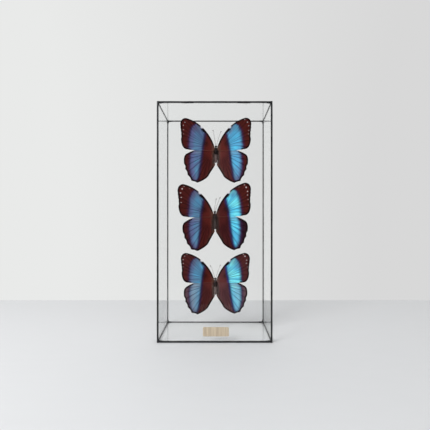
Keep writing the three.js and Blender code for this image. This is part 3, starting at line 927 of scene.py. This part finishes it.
bodySettings = {
    "thoraxRadii": (2.75, 2.4, 5.4), "thoraxZ": 0.3,  # over the fur
    "underFur": 0.93,  # the thorax itself against its size over the fur
    "lobeHeight": 0.07, "lobeScale": 0.55,  # of the thorax's uneven shape
    "headRadius": 1.5, "headZ": 6.6,
    "eyeRadius": 0.9, "eyePlace": (1.1, -0.1, 7.1),
    "abdomenProfile": [(-17, 0), (-16.8, 0.6), (-16, 1.25), (-14.2, 1.75), (-10.5, 2.0), (-6, 1.9), (-3, 1.4),
                       (-2, 0)],
    "abdomenStations": 64, "abdomenSides": 32, "abdomenSegments": 8, "segmentDip": 0.07,
    "abdomenShowsBelow": -5.2,  # above this it has the thorax's fur
    "antennaRoot": (0.6, -0.4, 7.6), "antennaTipY": -1.6, "antennaRadius": 0.2, "antennaStations": 30,
    "antennaBow": (0.42, 0.8),  # its middle: how far across from root to tip, and in y against the tip
    "antennaTaper": 0.35, "antennaEnd": 0.12,
    "clubRadius": 0.5, "clubLength": 2.8, "clubMiddle": 0.4,
    # how many hairs, and their shortest and longest
    "hairs": {"thorax": (1500, 0.9, 1.9), "head": (180, 0.5, 1.0), "abdomen": (750, 0.6, 1.3),
              "fringe": (420, 1.8, 3.2)},
    "hairRadius": 0.075, "hairTip": 0.004,
    "abdomenFurZ": (-16, -4), "fringeZ": (-17, -2.5), "fringeX": (2.3, 4.6),
}
legPairs = [
    [(0.9, 1.2, 3.4), (2.9, 3.2, 4.6), (3.5, 4.6, 1.2), (2.9, 5.2, -3.2)],
    [(1.1, 1.2, 1), (3.3, 3.6, 0.6), (4.4, 5, -4.4), (3.4, 5.4, -8.4)],
    [(1, 1.2, -1.6), (3.4, 3.4, -3.8), (4, 4.8, -9), (2.8, 5.2, -13.2)],
]
legRadii = [0.3, 0.26, 0.19, 0.1]


def insectSkin(name, dark, light, roughness):
    # dry insect skin, dark and finely tufted: matt as fur and scales, glossy as an eye
    material = newMaterial(name)
    place = addNode(material, "ShaderNodeTexCoord").outputs["Object"]
    tufts = addNode(material, "ShaderNodeTexNoise", {"Vector": place, "Scale": 1 / (1.4 * mm), "Detail": 4})
    colour = addNode(material, "ShaderNodeMix", {0: tufts, 6: dark, 7: light}, data_type="RGBA")
    relief = addNode(material, "ShaderNodeBump", {"Strength": 0.6, "Distance": 0.1 * mm, "Height": tufts})
    shader = addNode(material, "ShaderNodeBsdfPrincipled", {
        "Base Color": colour.outputs[2], "Roughness": roughness, "Specular IOR Level": 0.35,
        "Normal": relief,
    })
    addNode(material, "ShaderNodeOutputMaterial", {"Surface": shader})
    return material


def tube(bm, route, radii, sides, paint):
    # a circle extruded from station to station along the route
    stations = []
    for i, (place, radius) in enumerate(zip(route, radii)):
        forward = (route[min(i + 1, len(route) - 1)] - route[max(i - 1, 0)]).normalized()
        turned = forward.to_track_quat("Z", "Y").to_matrix().to_4x4()
        stations.append(Matrix.Translation(place) @ turned @ Matrix.Scale(radius, 4))
    circle = bmesh.ops.create_circle(bm, cap_ends=True, segments=sides, radius=1, matrix=stations[0])
    verts = circle["verts"]
    edges = list({edge for vert in verts for edge in vert.link_edges})
    made = list(verts)
    for before, after in zip(stations, stations[1:]):
        grown = bmesh.ops.extrude_edge_only(bm, edges=edges)["geom"]
        verts = [item for item in grown if isinstance(item, bmesh.types.BMVert)]
        edges = [item for item in grown if isinstance(item, bmesh.types.BMEdge)
                 and item.verts[0] in verts and item.verts[1] in verts]
        bmesh.ops.transform(bm, matrix=after @ before.inverted(), verts=verts)
        made += verts
    bmesh.ops.edgeloop_fill(bm, edges=edges)
    paintFaces(made, paint)


def paintFaces(verts, paint):
    for face in {face for vert in verts for face in vert.link_faces}:
        face.material_index = paint


def addBall(bm, radius, place, paint):
    ball = bmesh.ops.create_icosphere(bm, subdivisions=3, radius=radius, matrix=Matrix.Translation(place))
    paintFaces(ball["verts"], paint)


def makeAntenna(bm, sign, tip, s):
    root = Vector((sign * s["antennaRoot"][0], *s["antennaRoot"][1:]))
    end = Vector((tip[0], s["antennaTipY"], tip[1]))
    bowX, bowY = s["antennaBow"]
    middle = Vector((root.x + (end.x - root.x) * bowX, s["antennaTipY"] * bowY, (root.z + end.z) / 2))
    bend = 2 * middle - (root + end) / 2
    count = s["antennaStations"]
    route = interpolate_bezier(root, root.lerp(bend, 2 / 3), end.lerp(bend, 2 / 3), end, count)
    clubAt = s["clubLength"] * s["clubMiddle"]
    fromClub = [((end - place).length - clubAt) / s["clubLength"] for place in route]
    club = [s["clubRadius"] * math.exp(-(away * 2) ** 2) for away in fromClub]
    radii = [max(s["antennaRadius"] * (1 - s["antennaTaper"] * i / count), swell)
             for i, swell in enumerate(club)]
    radii[-1] = s["antennaEnd"]
    tube(bm, route, radii, 8, 0)


def addHairs(bm, rng, findSpot, count, lengths, s, paint):
    for _ in range(count):
        place, outward, comb = findSpot()
        way = (outward + comb + Vector([rng.uniform(-0.3, 0.3) for _ in range(3)])).normalized()
        length = rng.uniform(*lengths)
        turned = way.to_track_quat("Z", "Y").to_matrix().to_4x4()
        middle = Matrix.Translation(place + way * length * 0.4)
        hair = bmesh.ops.create_cone(bm, cap_ends=True, segments=3, radius1=s["hairRadius"],
                                     radius2=s["hairTip"], depth=length, matrix=middle @ turned)
        paintFaces(hair["verts"], paint)


def makeBody(butterfly, materials, rng, s):
    b = butterflies[butterfly]
    bm = bmesh.new()
    fur, skin, eye = 0, 1, 2
    radii = Vector(s["thoraxRadii"])
    chest = bmesh.ops.create_icosphere(bm, subdivisions=4, radius=1,
                                       matrix=Matrix.Diagonal((*radii * s["underFur"], 1)))
    for vert in chest["verts"]:
        lobe = noise.noise(vert.co * s["lobeScale"] + Vector((0, 0, 7)))
        vert.co = vert.co * (1 + s["lobeHeight"] * lobe) + Vector((0, 0, s["thoraxZ"]))
    paintFaces(chest["verts"], fur)
    addBall(bm, s["headRadius"], (0, 0, s["headZ"]), fur)

    # abdomen: a profile with its segments, spun about the body's axis
    z, width = np.array(s["abdomenProfile"]).T
    stations = np.linspace(z[0], z[-1], s["abdomenStations"])
    padded = np.pad(np.interp(stations, z, width), 2, mode="edge")
    softened = np.convolve(padded, np.ones(5) / 5, mode="valid")
    softened[0] = softened[-1] = 0
    grooves = np.abs(np.sin(np.pi * s["abdomenSegments"] * (stations - z[0]) / (z[-1] - z[0])))
    rounded = softened * (1 - s["segmentDip"] * (1 - grooves) ** 3)
    profile = [bm.verts.new((r, 0, height)) for r, height in zip(rounded, stations)]
    seams = [bm.edges.new(pair) for pair in zip(profile, profile[1:])]
    bmesh.ops.spin(bm, geom=profile + seams, axis=(0, 0, 1), cent=(0, 0, 0), angle=2 * math.pi,
                   steps=s["abdomenSides"], use_merge=True)
    abdomen = {vert for vert in bm.verts if vert.co.z < s["abdomenShowsBelow"] or vert in profile}
    paintFaces(abdomen, skin)

    for sign, tip in zip((-1, 1), b["antennaTips"]):
        addBall(bm, s["eyeRadius"], (sign * s["eyePlace"][0], *s["eyePlace"][1:]), eye)
        makeAntenna(bm, sign, (tip[0] / b["bodySize"], (tip[1] - b["bodyZ"]) / b["bodySize"]), s)
        for points in legPairs:
            joints = [Vector((sign * x, y, height)) for x, y, height in points]
            route = [a.lerp(c, t) for a, c in zip(joints, joints[1:]) for t in (0, 0.35, 0.7)] + joints[-1:]
            thickness = np.interp(np.linspace(0, 3, len(route)), range(4), legRadii)
            tube(bm, route, thickness, 7, skin)

    # fur, combed towards the tail
    def onThorax():
        way = Vector([rng.gauss(0, 1) for _ in range(3)]).normalized()
        place = Vector([way[i] * radii[i] * 0.92 for i in range(3)]) + Vector((0, 0, s["thoraxZ"]))
        return place, way * 0.75, Vector((0, 0, -0.8))

    def onHead():
        way = Vector([rng.gauss(0, 1) for _ in range(3)]).normalized()
        return way * s["headRadius"] * 0.95 + Vector((0, 0, s["headZ"])), way, Vector((0, -0.1, 0.3))

    def onAbdomen():
        angle, height = rng.uniform(0, 2 * math.pi), rng.uniform(*s["abdomenFurZ"])
        reach = np.interp(height, z, width) * 0.93
        way = Vector((math.cos(angle), math.sin(angle), 0))
        return way * reach + Vector((0, 0, height)), way * 0.35, Vector((0, 0, -1))

    # the hindwings' inner edges are fringed, and close the slits beside the abdomen
    def onInnerEdge():
        sign = rng.choice((-1, 1))
        height = rng.uniform(*s["fringeZ"])
        x = rng.uniform(*s["fringeX"])
        place = Vector((sign * x, 0.02 - 0.15 * x, height))
        return place, Vector((-sign * 0.3 if x < 3.4 else sign * 0.1, -0.12, 0)), Vector((0, 0, -1))

    coats = {"thorax": (onThorax, fur), "head": (onHead, fur), "abdomen": (onAbdomen, skin),
             "fringe": (onInnerEdge, skin)}
    for name, (findSpot, paint) in coats.items():
        count, *lengths = s["hairs"][name]
        addHairs(bm, rng, findSpot, count, lengths, s, paint)

    bmesh.ops.remove_doubles(bm, verts=bm.verts, dist=1e-5)
    bmesh.ops.recalc_face_normals(bm, faces=bm.faces)
    standing = Matrix.Translation((b["x"], 0, b["z"])) @ Matrix.Rotation(math.radians(b["tilt"]), 4, "Y")
    sized = Matrix.Translation((0, 0, b["bodyZ"])) @ Matrix.Scale(b["bodySize"], 4)
    bmesh.ops.transform(bm, matrix=standing @ sized, verts=bm.verts)
    finishPiece(bm, f"furred_{butterfly}_body", materials, f"{butterfly}_body")


compoundEye = insectSkin("glossy compound eye", "#1a1110", "#3a241c", 0.25)
bodyTones = {
    "top": {"fur": ("#191313", "#342827"), "abdomen": ("#3e302f", "#766361")},
    "middle": {"fur": ("#251c1c", "#4a3c3a"), "abdomen": ("#2b2221", "#524542")},
    "bottom": {"fur": ("#2c2322", "#5a4a48"), "abdomen": ("#473b39", "#867672")},
}
rng = random.Random(7)  # all bodies draw from it, so each has its own hairs
for name, tones in bodyTones.items():
    thoraxFur = insectSkin(f"{name} thorax fur", *tones["fur"], 0.85)
    abdomenScales = insectSkin(f"{name} abdomen scales", *tones["abdomen"], 0.8)
    makeBody(name, [thoraxFur, abdomenScales, compoundEye], rng, bodySettings)
print("3 bodies made")
